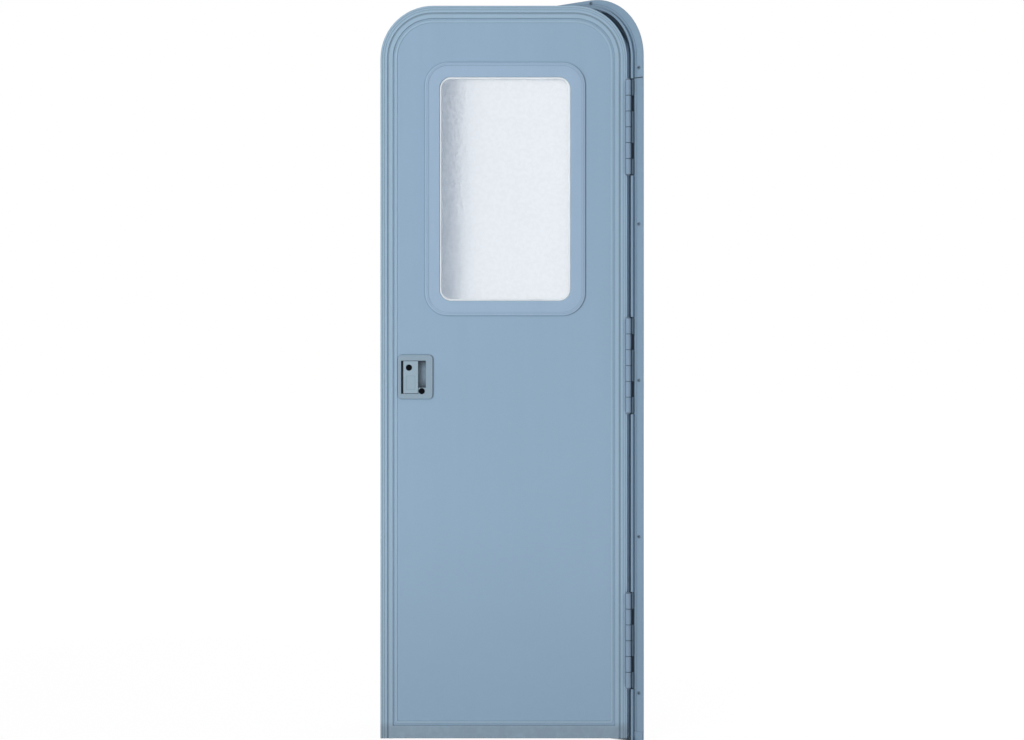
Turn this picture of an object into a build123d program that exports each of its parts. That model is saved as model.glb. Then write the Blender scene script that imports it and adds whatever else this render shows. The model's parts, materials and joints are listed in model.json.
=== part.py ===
"""Caravan entry door: a radius-cornered leaf with its frame, three hinges, window and flush paddle lock.

X runs along the wall with the hinges at +X, -Y is the outside and Z is up, in millimetres.
The origin is the middle of the sill's underside, on the plane where the frame's flange meets the wall.
Door pieces are drawn with the door shut, then turned about the hinge pins to DOOR_AJAR.
"""
import os
from build123d import *

# Door leaf
DOOR_WIDTH = 612.0
DOOR_HEIGHT = 1814.0
DOOR_CORNER_RADIUS = 131.0
DOOR_THICKNESS = 36.0
DOOR_AJAR = 36.0
EDGE_GAP = 6.6
SILL_CLEARANCE = 5.0
DOOR_SET_BACK = 5.8

# Door edge extrusion and bottom rail
EDGE_FACE_WIDTH = 31.0
EDGE_WALL = 2.5
EDGE_LIP = 2.2
EDGE_ROUND = 2.0
GROOVE_INSET = 17.0
GROOVE_WIDTH = 4.5
GROOVE_DEPTH = 1.6
LINE_PITCH = 5.0
LINE_WIDTH = 1.2
LINE_DEPTH = 0.7
RAIL_HEIGHT = 32.0
SKIN_SHEET = 1.2
BEAD_INSET = 36.0
BEAD_WIDTH = 6.0
BEAD_HEIGHT = 1.2
BEAD_CORNER_RADIUS = 8.0
BEAD_SOFTENING = 0.8
FIT = 0.3

# Frame round the doorway
FRAME_WALL = 3.0
FRAME_BEAD_WIDTH = 6.5
FRAME_BEAD_PROUD = 8.5
FRAME_BEAD_ROUND = 2.2
FRAME_BEAD_WALL = 2.0
FLANGE_WIDTH = 24.5
FLANGE_HEAD_WIDTH = 16.0
FLANGE_THICKNESS = 3.0
FLANGE_ROUND = 1.0
FLANGE_CORNER_RADIUS = 156.0
FLANGE_LINE_INSET = 6.0
FOOT_PAD_HEIGHT = 27.0
FOOT_PAD_PROUD = 1.2
STOP_WIDTH = 44.0
STOP_THICKNESS = 3.0
SEAL_BASE = 3.0
SEAL_WIDTH = 16.0
SEAL_HEIGHT = 8.0
SEAL_ROUND = 3.0
SEAL_CLEARANCE = 5.0
SEAL_FROM_LIP = 1.0
HEAD_SEAM_ABOVE_HINGE = 2.5
SILL_THICKNESS = 2.0
SILL_STOP_HEIGHT = 18.0
SILL_GROOVE_PITCH = 8.0
SILL_GROOVE_WIDTH = 3.0
SILL_GROOVE_DEPTH = 0.6
SCREW_HOLE_DIAMETER = 4.5
SCREW_COUNT = 5
SCREW_ABOVE_FOOT = 122.0
SCREW_BELOW_TOP = 185.0
HEAD_SCREW_SPACING = 380.0

# Hinges
HINGE_LENGTH = 234.0
LOWER_HINGE_ABOVE_FOOT = 127.0
MIDDLE_HINGE_LIFT = 16.0
UPPER_HINGE_BELOW_TOP = 185.0
HINGE_PIN_OUT = 1.5
KNUCKLE_COUNT = 6
DOOR_KNUCKLES = (1, 4)
BARREL_DIAMETER = 14.0
BARREL_CLEARANCE = 0.5
PIN_DIAMETER = 6.0
PIN_CLEARANCE = 0.05
PIN_HEAD_DIAMETER = 10.0
PIN_HEAD_HEIGHT = 2.0
KNUCKLE_GAP = 1.0
KNUCKLE_CHAMFER = 0.8
LEAF_THICKNESS = 2.0
LEAF_REACH = 30.0

# Window
WINDOW_WIDTH = 324.0
WINDOW_CORNER_RADIUS = 28.5
WINDOW_BELOW_DOOR_TOP = 177.0
WINDOW_ABOVE_LOCK = 188.0
WINDOW_SHIFT = 3.0
TRIM_WIDTH = 36.5
TRIM_CORNER_RADIUS = 57.0
TRIM_PROUD = 4.5
TRIM_ROUND = 1.8
TRIM_BACK_PROUD = 3.0
TRIM_BACK_ROUND = 1.2
TRIM_RIDGE_INSET = 5.0
TRIM_RIDGE_WIDTH = 3.0
TRIM_RIDGE_HEIGHT = 1.0
GLASS_THICKNESS = 5.0
GLASS_LAP = 9.0
TRIM_LEG = 5.0

# Flush paddle lock
LOCK_FROM_EDGE = 87.0
LOCK_ABOVE_DOOR_FOOT = 895.0
BEZEL_WIDTH = 86.0
BEZEL_HEIGHT = 109.0
BEZEL_PROUD = 5.0
BEZEL_RADIUS = 10.0
BEZEL_ROUND = 1.7
BEZEL_WALL = 2.0
POCKET_WIDTH = 61.5
POCKET_HEIGHT = 82.0
POCKET_FROM_LEFT = 7.4
POCKET_FROM_TOP = 14.3
POCKET_DEPTH = 20.0
PADDLE_WIDTH = 36.0
PADDLE_FROM_SLIT = 6.0
PADDLE_CLEARANCE = 1.3
PADDLE_THICKNESS = 3.5
PADDLE_SET_BACK = 1.0
PADDLE_LIP_DEPTH = 9.0
PADDLE_LIP_THICKNESS = 3.0
PADDLE_BOSS_DIAMETER = 8.0
PANEL_FROM_TOP = 36.0
PANEL_FROM_FOOT = 9.0
PANEL_FROM_SIDES = 7.0
PANEL_RADIUS = 2.0
PANEL_DEPTH = 0.8
PIVOT_DIAMETER = 4.0
PIVOT_FROM_PADDLE_EDGE = 3.0
PIVOT_BEHIND_PADDLE = 5.0
KEY_DIAMETER = 15.0
KEY_PROUD = 1.5
KEY_LENGTH = 10.0
KEY_SLOT_WIDTH = 1.5
KEY_SLOT_LENGTH = 8.0
KEY_CHAMFER = 0.6
PADDLE_KEY_FROM_EDGE = 13.6
PADDLE_KEY_FROM_TOP = 16.0
BEZEL_KEY_FROM_LEFT = 58.7
BEZEL_KEY_FROM_TOP = 89.8
KEY_LAND_HEIGHT = 15.0
EDGE_PLATE_WIDTH = 25.0
EDGE_PLATE_HEIGHT = 150.0
EDGE_PLATE_THICKNESS = 1.5
BOLT_HEIGHT = 22.0
BOLT_WIDTH = 14.0
BOLT_LENGTH = 30.0
BOLT_PITCH = 60.0
INSIDE_PLATE_PROUD = 10.0
INSIDE_ROUND = 2.5
INSIDE_DISH_DEPTH = 6.5
INSIDE_DISH_MARGIN = 7.0
INSIDE_LEVER_WIDTH = 30.0
INSIDE_LEVER_HEIGHT = 54.0
INSIDE_LEVER_ABOVE_FOOT = 13.0
INSIDE_LEVER_PROUD = 4.0
THUMB_TURN_DIAMETER = 22.0
THUMB_TURN_BELOW_TOP = 19.0
THUMB_TURN_HEIGHT = 3.0
THUMB_GRIP_LENGTH = 18.0
THUMB_GRIP_WIDTH = 7.0
THUMB_GRIP_HEIGHT = 8.0
THUMB_GRIP_ROUND = 1.5

# Places worked out from the sizes above
HALF_DOOR = DOOR_WIDTH / 2
HALF_OPENING = HALF_DOOR + EDGE_GAP
DOOR_FOOT = SILL_THICKNESS + SILL_CLEARANCE
DOOR_TOP = DOOR_FOOT + DOOR_HEIGHT
BEAD_Y = -(FLANGE_THICKNESS + FRAME_BEAD_PROUD)
FACE_Y = BEAD_Y + DOOR_SET_BACK
BACK_Y = FACE_Y + DOOR_THICKNESS
SKIN_Y = FACE_Y + EDGE_LIP
CORE_Y = SKIN_Y + SKIN_SHEET
INNER_SKIN_Y = BACK_Y - EDGE_LIP
CORE_BACK_Y = INNER_SKIN_Y - SKIN_SHEET
STOP_Y = BACK_Y + SEAL_CLEARANCE + SEAL_HEIGHT
JAMB_BACK_Y = STOP_Y + STOP_THICKNESS
BARREL_RADIUS = BARREL_DIAMETER / 2
PIN_X = HALF_DOOR + HINGE_PIN_OUT
PIN_Y = FACE_Y - BARREL_RADIUS - BARREL_CLEARANCE
PIN_HOLE_RADIUS = PIN_DIAMETER / 2 + PIN_CLEARANCE
KNUCKLE_PITCH = HINGE_LENGTH / KNUCKLE_COUNT
HINGE_BASES = {
    "lower": DOOR_FOOT + LOWER_HINGE_ABOVE_FOOT,
    "middle": (DOOR_FOOT + DOOR_TOP - HINGE_LENGTH) / 2 + MIDDLE_HINGE_LIFT,
    "upper": DOOR_TOP - UPPER_HINGE_BELOW_TOP - HINGE_LENGTH,
}
HALF_FRAME = HALF_OPENING + FRAME_BEAD_WIDTH + FLANGE_WIDTH
FRAME_TOP = DOOR_TOP + EDGE_GAP + FRAME_BEAD_WIDTH + FLANGE_HEAD_WIDTH
HEAD_SEAM_Z = HINGE_BASES["upper"] + HINGE_LENGTH + PIN_HEAD_HEIGHT + HEAD_SEAM_ABOVE_HINGE
SCREW_X = HALF_FRAME - FLANGE_WIDTH / 2
HEAD_SCREW_Z = FRAME_TOP - FLANGE_HEAD_WIDTH / 2
SCREW_PITCH = (FRAME_TOP - SCREW_BELOW_TOP - SCREW_ABOVE_FOOT) / (SCREW_COUNT - 1)
SCREW_LEVELS = [SCREW_ABOVE_FOOT + row * SCREW_PITCH for row in range(SCREW_COUNT)]
GLASS_Y = SKIN_Y
LOCK_X = LOCK_FROM_EDGE - HALF_DOOR
LOCK_Z = DOOR_FOOT + LOCK_ABOVE_DOOR_FOOT
WINDOW_HEIGHT = DOOR_TOP - WINDOW_BELOW_DOOR_TOP - LOCK_Z - WINDOW_ABOVE_LOCK
WINDOW_Z = DOOR_TOP - WINDOW_BELOW_DOOR_TOP - WINDOW_HEIGHT / 2
BEZEL_LEFT = LOCK_X - BEZEL_WIDTH / 2
BEZEL_TOP = LOCK_Z + BEZEL_HEIGHT / 2
BEZEL_Y = SKIN_Y - BEZEL_PROUD
BEZEL_KEY_X = BEZEL_LEFT + BEZEL_KEY_FROM_LEFT
BEZEL_KEY_Z = BEZEL_TOP - BEZEL_KEY_FROM_TOP
POCKET_LEFT = BEZEL_LEFT + POCKET_FROM_LEFT
POCKET_TOP = BEZEL_TOP - POCKET_FROM_TOP
POCKET_FLOOR_Y = BEZEL_Y + POCKET_DEPTH
PADDLE_LEFT = POCKET_LEFT + PADDLE_FROM_SLIT
PADDLE_TOP = POCKET_TOP - PADDLE_CLEARANCE
PADDLE_HEIGHT = POCKET_HEIGHT - 2 * PADDLE_CLEARANCE
PADDLE_Y = BEZEL_Y + PADDLE_SET_BACK
PADDLE_KEY_X = PADDLE_LEFT + PADDLE_KEY_FROM_EDGE
PADDLE_KEY_Z = PADDLE_TOP - PADDLE_KEY_FROM_TOP
PIVOT_X = PADDLE_LEFT + PIVOT_FROM_PADDLE_EDGE
PIVOT_Y = PADDLE_Y + PIVOT_BEHIND_PADDLE
PIVOT_HOLE_RADIUS = PIVOT_DIAMETER / 2 + PIN_CLEARANCE
HINGE_AXIS = Axis((PIN_X, PIN_Y, 0), (0, 0, 1))


def slab(sketch, front, back):
    """Return a flat XZ sketch given depth from Y front to Y back."""
    return extrude(Plane.XZ.offset(-front) * sketch, amount=front - back)


def block(x_span, y_span, z_span):
    """Return a box between two values on each axis."""
    size = [high - low for low, high in (x_span, y_span, z_span)]
    middle = [(low + high) / 2 for low, high in (x_span, y_span, z_span)]
    return Pos(*middle) * Box(*size)


def arch_sketch(half_width, top, radius, foot):
    """Return an outline with a square foot and two round upper corners."""
    outline = Pos(0, (top + foot) / 2) * Rectangle(2 * half_width, top - foot)
    return fillet(outline.vertices().group_by(Axis.Y)[-1], radius)


def door_arch(inset, front, back, foot=DOOR_FOOT):
    """Return the door's outline, moved in by inset, as a slab."""
    sketch = arch_sketch(HALF_DOOR - inset, DOOR_TOP - inset, DOOR_CORNER_RADIUS - inset, foot)
    return slab(sketch, front, back)


def arch_ring(outer_inset, inner_inset, front, back, foot=DOOR_FOOT):
    """Return the inverted U between two insets of the door's outline."""
    return door_arch(outer_inset, front, back, foot) - door_arch(inner_inset, front, back, foot)


def upright(radius, height, x, y, base):
    """Return a vertical round bar."""
    return Pos(x, y, base) * Cylinder(radius, height, align=(Align.CENTER, Align.CENTER, Align.MIN))


def bar_through(radius, x, z, front, back):
    """Return a round bar along Y."""
    return slab(Pos(x, z) * Circle(radius), front, back)


def arch_rims(shape, feet, side):
    """Return the rim edges of an arch's front or back face, without those across its feet."""
    return shape.faces().sort_by(Axis.Y)[side].edges().sort_by(Axis.Z)[feet:]


def frame_section():
    """Return the whole frame surround before it is parted at the head seams."""
    opening = -EDGE_GAP
    bead_side = opening - FRAME_BEAD_WIDTH
    bead = arch_ring(bead_side, opening, BEAD_Y, 0, 0)
    bead = fillet(arch_rims(bead, 2, 0), FRAME_BEAD_ROUND)
    hollow = (bead_side + FRAME_BEAD_WALL, opening - FRAME_BEAD_WALL)
    bead -= arch_ring(*hollow, BEAD_Y + FRAME_BEAD_WALL, 0, 0)
    wall = arch_ring(opening - FRAME_WALL, opening, 0, JAMB_BACK_Y, 0)
    stop = arch_ring(opening, opening + STOP_WIDTH, STOP_Y, JAMB_BACK_Y, SILL_THICKNESS)
    return bead + wall + stop + flange(bead_side)


def flange(bead_side):
    """Return the flange round the bead, with its fine line, foot pads and screw holes."""
    outline = arch_sketch(HALF_FRAME, FRAME_TOP, FLANGE_CORNER_RADIUS, 0)
    plate = slab(outline, -FLANGE_THICKNESS, 0)
    plate = fillet(arch_rims(plate, 1, 0), FLANGE_ROUND)
    pad_depth = (-FLANGE_THICKNESS - FOOT_PAD_PROUD, -FLANGE_THICKNESS)
    half_pad = HALF_FRAME - FLANGE_ROUND
    plate += block((-half_pad, half_pad), pad_depth, (0, FOOT_PAD_HEIGHT))
    plate -= door_arch(bead_side, pad_depth[0], 0, 0)
    line_inset = bead_side - FLANGE_LINE_INSET
    line_depth = (pad_depth[0], LINE_DEPTH - FLANGE_THICKNESS)
    plate -= arch_ring(line_inset - LINE_WIDTH, line_inset, *line_depth, FOOT_PAD_HEIGHT)
    return plate - screw_holes()


def screw_holes():
    """Return the bars that cut the flange's screw holes."""
    places = [(side * SCREW_X, z) for side in (-1, 1) for z in SCREW_LEVELS]
    places += [(side * HEAD_SCREW_SPACING / 2, HEAD_SCREW_Z) for side in (-1, 1)]
    return [bar_through(SCREW_HOLE_DIAMETER / 2, x, z, -FLANGE_THICKNESS, 0) for x, z in places]


def hinge_notches():
    """Return the cuts that open the frame's bead in front of each hinge."""
    reach = (HALF_OPENING, HALF_OPENING + FRAME_BEAD_WIDTH)
    margin = PIN_HEAD_HEIGHT + KNUCKLE_GAP
    spans = [(base - margin, base + HINGE_LENGTH + margin) for base in HINGE_BASES.values()]
    return [block(reach, (BEAD_Y, -FLANGE_THICKNESS), span) for span in spans]


def bolt_bars(x_span, grow):
    """Return the two bolts over a span of X, or with grow the openings that clear them."""
    middle_y = (FACE_Y + BACK_Y) / 2
    y_span = (middle_y - BOLT_WIDTH / 2 - grow, middle_y + BOLT_WIDTH / 2 + grow)
    half = BOLT_HEIGHT / 2 + grow
    heights = [LOCK_Z + side * BOLT_PITCH / 2 for side in (-1, 1)]
    return [block(x_span, y_span, (z - half, z + half)) for z in heights]


def edge_plate(x_span):
    """Return the blank of a plate let into the latch edge or the latch jamb."""
    middle_y = (FACE_Y + BACK_Y) / 2
    y_span = (middle_y - EDGE_PLATE_WIDTH / 2, middle_y + EDGE_PLATE_WIDTH / 2)
    return block(x_span, y_span, (LOCK_Z - EDGE_PLATE_HEIGHT / 2, LOCK_Z + EDGE_PLATE_HEIGHT / 2))


def frame_pieces():
    """Return the frame's head, jambs, sill, seal and strike plate."""
    section = frame_section()
    above = block((-HALF_FRAME, HALF_FRAME), (BEAD_Y, JAMB_BACK_Y), (HEAD_SEAM_Z, FRAME_TOP))
    right = block((0, HALF_FRAME), (BEAD_Y, JAMB_BACK_Y), (0, HEAD_SEAM_Z))
    left = block((-HALF_FRAME, 0), (BEAD_Y, JAMB_BACK_Y), (0, HEAD_SEAM_Z))
    strike_span = (-HALF_OPENING - EDGE_PLATE_THICKNESS, -HALF_OPENING)
    wall_span = (-HALF_OPENING - FRAME_WALL, -HALF_OPENING)
    strike = edge_plate(strike_span) - bolt_bars(strike_span, FIT)
    latch_jamb = (section & left) - edge_plate(strike_span) - bolt_bars(wall_span, FIT)
    return {
        "frame_head": section & above,
        "frame_hinge_jamb": (section & right) - hinge_notches(),
        "frame_latch_jamb": latch_jamb,
        "frame_sill": sill(),
        "frame_seal": frame_seal(),
        "strike_plate": strike,
    }


def frame_seal():
    """Return the seal on the stop lip: a flat base with a round bulb near the lip's edge."""
    inner = STOP_WIDTH - SEAL_FROM_LIP - EDGE_GAP
    base = arch_ring(FIT - EDGE_GAP, inner, STOP_Y - SEAL_BASE, STOP_Y, SILL_THICKNESS)
    bulb = arch_ring(inner - SEAL_WIDTH, inner, STOP_Y - SEAL_HEIGHT, STOP_Y, SILL_THICKNESS)
    return base + fillet(arch_rims(bulb, 2, 0), SEAL_ROUND)


def sill():
    """Return the thin grooved tread with its stop upstand."""
    tread = block((-HALF_OPENING, HALF_OPENING), (FACE_Y, JAMB_BACK_Y), (0, SILL_THICKNESS))
    groove_span = (SILL_THICKNESS - SILL_GROOVE_DEPTH, SILL_THICKNESS)
    for count in range(1, int((STOP_Y - FACE_Y) / SILL_GROOVE_PITCH)):
        front = FACE_Y + count * SILL_GROOVE_PITCH
        tread -= block((-HALF_OPENING, HALF_OPENING), (front, front + SILL_GROOVE_WIDTH), groove_span)
    half_stop = HALF_OPENING - STOP_WIDTH
    stop_span = (SILL_THICKNESS, SILL_THICKNESS + SILL_STOP_HEIGHT)
    return tread + block((-half_stop, half_stop), (STOP_Y, JAMB_BACK_Y), stop_span)


def hinge_leaf(base, knuckles, plate_span, tab_span=None):
    """Return one hinge leaf: a plate in the edge gap with its knuckles, and their tabs if it has any."""
    plate = block(plate_span, (FACE_Y, FACE_Y + LEAF_REACH), (base, base + HINGE_LENGTH))
    for index in knuckles:
        low = base + index * KNUCKLE_PITCH + KNUCKLE_GAP / 2
        height = KNUCKLE_PITCH - KNUCKLE_GAP
        knuckle = upright(BARREL_RADIUS, height, PIN_X, PIN_Y, low)
        plate += chamfer(knuckle.edges().filter_by(GeomType.CIRCLE), KNUCKLE_CHAMFER)
        plate += block(plate_span, (PIN_Y, FACE_Y), (low, low + height))
        if tab_span:
            back = PIN_Y + BARREL_RADIUS
            plate += block(tab_span, (back - LEAF_THICKNESS, back), (low, low + height))
    return plate - upright(PIN_HOLE_RADIUS, HINGE_LENGTH, PIN_X, PIN_Y, base)


def hinge_pin(base):
    """Return a hinge pin with a flat head at each end."""
    pin = upright(PIN_DIAMETER / 2, HINGE_LENGTH, PIN_X, PIN_Y, base)
    pin += upright(PIN_HEAD_DIAMETER / 2, PIN_HEAD_HEIGHT, PIN_X, PIN_Y, base - PIN_HEAD_HEIGHT)
    return pin + upright(PIN_HEAD_DIAMETER / 2, PIN_HEAD_HEIGHT, PIN_X, PIN_Y, base + HINGE_LENGTH)


def edge_grooves():
    """Return the cuts of the edge extrusion's groove and fine lines."""
    cuts = [arch_ring(GROOVE_INSET, GROOVE_INSET + GROOVE_WIDTH, FACE_Y, FACE_Y + GROOVE_DEPTH)]
    for count in (1, 2):
        inset = count * LINE_PITCH
        cuts.append(arch_ring(inset, inset + LINE_WIDTH, FACE_Y, FACE_Y + LINE_DEPTH))
    return cuts


def door_edge_frame():
    """Return the bent channel round the door's sides and head."""
    channel = door_arch(0, FACE_Y, BACK_Y)
    channel = fillet(arch_rims(channel, 1, 0) + arch_rims(channel, 1, -1), EDGE_ROUND)
    channel -= door_arch(EDGE_FACE_WIDTH, FACE_Y, BACK_Y)
    channel -= door_arch(EDGE_WALL, SKIN_Y, INNER_SKIN_Y)
    plate_span = (-HALF_DOOR, EDGE_PLATE_THICKNESS - HALF_DOOR)
    bolt_span = (-HALF_DOOR, EDGE_WALL - HALF_DOOR)
    return channel - edge_grooves() - edge_plate(plate_span) - bolt_bars(bolt_span, FIT)


def door_bottom_rail():
    """Return the straight channel between the stiles."""
    half = HALF_DOOR - EDGE_FACE_WIDTH
    z_span = (DOOR_FOOT, DOOR_FOOT + RAIL_HEIGHT)
    outer = block((-half, half), (FACE_Y, BACK_Y), z_span)
    outer = fillet(outer.edges().filter_by(Axis.X).group_by(Axis.Z)[0], EDGE_ROUND)
    inner = block((-half, half), (SKIN_Y, INNER_SKIN_Y), (DOOR_FOOT + EDGE_WALL, z_span[1]))
    return outer - inner


def window_sketch(offset, radius):
    """Return the window's rounded outline, grown by offset."""
    outline = RectangleRounded(WINDOW_WIDTH + 2 * offset, WINDOW_HEIGHT + 2 * offset, radius)
    return Pos(WINDOW_SHIFT, WINDOW_Z) * outline


def window_slab(offset, front, back):
    """Return the window's outline, grown by offset, as a slab."""
    return slab(window_sketch(offset, WINDOW_CORNER_RADIUS + offset), front, back)


def pocket_rectangle(grow):
    """Return the rectangle round the lock's pocket, grown on every side."""
    middle = Pos(POCKET_LEFT + POCKET_WIDTH / 2, POCKET_TOP - POCKET_HEIGHT / 2)
    return middle * Rectangle(POCKET_WIDTH + 2 * grow, POCKET_HEIGHT + 2 * grow)


def pocket_sketch():
    """Return the lock pocket's outline: a rectangle less the land that holds the lower key cylinder."""
    land_width = POCKET_WIDTH - PADDLE_FROM_SLIT - PADDLE_WIDTH - PADDLE_CLEARANCE
    land_x = POCKET_LEFT + POCKET_WIDTH - land_width / 2
    land_z = POCKET_TOP - POCKET_HEIGHT + KEY_LAND_HEIGHT / 2
    return pocket_rectangle(0) - Pos(land_x, land_z) * Rectangle(land_width, KEY_LAND_HEIGHT)


def pocket_tub(grow):
    """Return the block round the lock's pocket, from the skin to behind the pocket's floor."""
    return slab(pocket_rectangle(grow), SKIN_Y, POCKET_FLOOR_Y + BEZEL_WALL)


def panel_pieces():
    """Return the sandwich panel: two skins, the core between them and the fine bead."""
    inset = EDGE_WALL + FIT
    foot = DOOR_FOOT + EDGE_WALL + FIT
    window_hole = window_slab(GLASS_LAP + FIT, FACE_Y, BACK_Y)
    lock_hole = pocket_tub(BEZEL_WALL + FIT)
    outer_skin = door_arch(inset, SKIN_Y, CORE_Y, foot) - window_hole - lock_hole
    inner_skin = door_arch(inset, CORE_BACK_Y, INNER_SKIN_Y, foot) - window_hole
    core = door_arch(inset, CORE_Y, CORE_BACK_Y, foot) - window_hole - lock_hole
    core -= bolt_bars((-HALF_DOOR, BOLT_LENGTH - HALF_DOOR), FIT)
    bead_foot = DOOR_FOOT + RAIL_HEIGHT + BEAD_INSET - EDGE_FACE_WIDTH
    bead = bead_outline(BEAD_INSET, bead_foot)
    bead -= bead_outline(BEAD_INSET + BEAD_WIDTH, bead_foot + BEAD_WIDTH)
    bead = slab(bead, SKIN_Y - BEAD_HEIGHT, SKIN_Y)
    return {
        "door_outer_skin": outer_skin,
        "door_inner_skin": inner_skin,
        "door_core": core,
        "skin_bead": fillet(bead.faces().sort_by(Axis.Y)[0].edges(), BEAD_SOFTENING),
    }


def bead_outline(inset, foot):
    """Return the bead's outline with its small lower corners."""
    sketch = arch_sketch(HALF_DOOR - inset, DOOR_TOP - inset, DOOR_CORNER_RADIUS - inset, foot)
    radius = BEAD_CORNER_RADIUS + BEAD_INSET - inset
    return fillet(sketch.vertices().group_by(Axis.Y)[0], radius)


def window_pieces():
    """Return the window's trims and its pane."""
    front_y = SKIN_Y - TRIM_PROUD
    outer = slab(window_sketch(TRIM_WIDTH, TRIM_CORNER_RADIUS), front_y, SKIN_Y)
    outer -= window_slab(0, front_y, SKIN_Y)
    outer = fillet(outer.faces().sort_by(Axis.Y)[0].edges(), TRIM_ROUND)
    ridge_inset = TRIM_WIDTH - TRIM_RIDGE_INSET
    ridge_radius = TRIM_CORNER_RADIUS - TRIM_RIDGE_INSET
    ridge = slab(window_sketch(ridge_inset, ridge_radius), front_y - TRIM_RIDGE_HEIGHT, front_y)
    ridge -= slab(
        window_sketch(ridge_inset - TRIM_RIDGE_WIDTH, ridge_radius - TRIM_RIDGE_WIDTH),
        front_y - TRIM_RIDGE_HEIGHT,
        front_y,
    )
    inner_back = INNER_SKIN_Y + TRIM_BACK_PROUD
    inner = slab(window_sketch(TRIM_WIDTH, TRIM_CORNER_RADIUS), INNER_SKIN_Y, inner_back)
    inner = fillet(inner.faces().sort_by(Axis.Y)[-1].edges(), TRIM_BACK_ROUND)
    inner += window_slab(TRIM_LEG, GLASS_Y + GLASS_THICKNESS, INNER_SKIN_Y)
    inner -= window_slab(0, GLASS_Y + GLASS_THICKNESS, inner_back)
    return {
        "window_outer_trim": outer + ridge,
        "window_inner_trim": inner,
        "window_glass": window_slab(GLASS_LAP, GLASS_Y, GLASS_Y + GLASS_THICKNESS),
    }


def key_cylinder(x, z, front):
    """Return a key cylinder with its key slot, let into the face at Y front."""
    body = bar_through(KEY_DIAMETER / 2, x, z, front - KEY_PROUD, front + KEY_LENGTH)
    body = chamfer(body.faces().sort_by(Axis.Y)[0].edges(), KEY_CHAMFER)
    outline = SlotOverall(KEY_SLOT_LENGTH, KEY_SLOT_WIDTH, rotation=90)
    return body - slab(Pos(x, z) * outline, front - KEY_PROUD, front)


def lock_bezel():
    """Return the lock's face plate with its recessed pocket."""
    outline = RectangleRounded(BEZEL_WIDTH, BEZEL_HEIGHT, BEZEL_RADIUS)
    plate = slab(Pos(LOCK_X, LOCK_Z) * outline, BEZEL_Y, SKIN_Y)
    plate = fillet(plate.faces().sort_by(Axis.Y)[0].edges(), BEZEL_ROUND)
    plate += pocket_tub(BEZEL_WALL)
    plate -= slab(pocket_sketch(), BEZEL_Y, POCKET_FLOOR_Y)
    plate -= bar_through(KEY_DIAMETER / 2, BEZEL_KEY_X, BEZEL_KEY_Z, BEZEL_Y, BEZEL_Y + KEY_LENGTH)
    return plate - pivot_bar(PIVOT_HOLE_RADIUS, BEZEL_WALL)


def pivot_bar(radius, beyond):
    """Return the paddle's pivot line as a bar that runs past the pocket at both ends."""
    base = POCKET_TOP - POCKET_HEIGHT - beyond
    return upright(radius, POCKET_HEIGHT + 2 * beyond, PIVOT_X, PIVOT_Y, base)


def lock_paddle():
    """Return the pull paddle: a plate with a sunk panel, a finger lip and a pivot boss."""
    z_span = (PADDLE_TOP - PADDLE_HEIGHT, PADDLE_TOP)
    right = PADDLE_LEFT + PADDLE_WIDTH
    paddle = block((PADDLE_LEFT, right), (PADDLE_Y, PADDLE_Y + PADDLE_THICKNESS), z_span)
    paddle += block((right - PADDLE_LIP_THICKNESS, right), (PADDLE_Y, PADDLE_Y + PADDLE_LIP_DEPTH), z_span)
    paddle += upright(PADDLE_BOSS_DIAMETER / 2, PADDLE_HEIGHT, PIVOT_X, PIVOT_Y, z_span[0])
    panel_height = PADDLE_HEIGHT - PANEL_FROM_TOP - PANEL_FROM_FOOT
    panel = RectangleRounded(PADDLE_WIDTH - 2 * PANEL_FROM_SIDES, panel_height, PANEL_RADIUS)
    panel_middle = Pos(PADDLE_LEFT + PADDLE_WIDTH / 2, z_span[0] + PANEL_FROM_FOOT + panel_height / 2)
    paddle -= slab(panel_middle * panel, PADDLE_Y, PADDLE_Y + PANEL_DEPTH)
    paddle -= bar_through(KEY_DIAMETER / 2, PADDLE_KEY_X, PADDLE_KEY_Z, PADDLE_Y, PADDLE_Y + KEY_LENGTH)
    return paddle - pivot_bar(PIVOT_HOLE_RADIUS, 0)


def lock_pieces():
    """Return the lock's fixed pieces on the outer face and on the latch edge."""
    plate_span = (-HALF_DOOR, EDGE_PLATE_THICKNESS - HALF_DOOR)
    bolt_span = (-HALF_DOOR, BOLT_LENGTH - HALF_DOOR)
    return {
        "lock_bezel": lock_bezel(),
        "lock_key_cylinder": key_cylinder(BEZEL_KEY_X, BEZEL_KEY_Z, BEZEL_Y),
        "lock_pivot_pin": pivot_bar(PIVOT_DIAMETER / 2, BEZEL_WALL),
        "latch_edge_plate": edge_plate(plate_span) - bolt_bars(plate_span, FIT),
        "latch_bolts": Compound(bolt_bars(bolt_span, 0)),
    }


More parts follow.
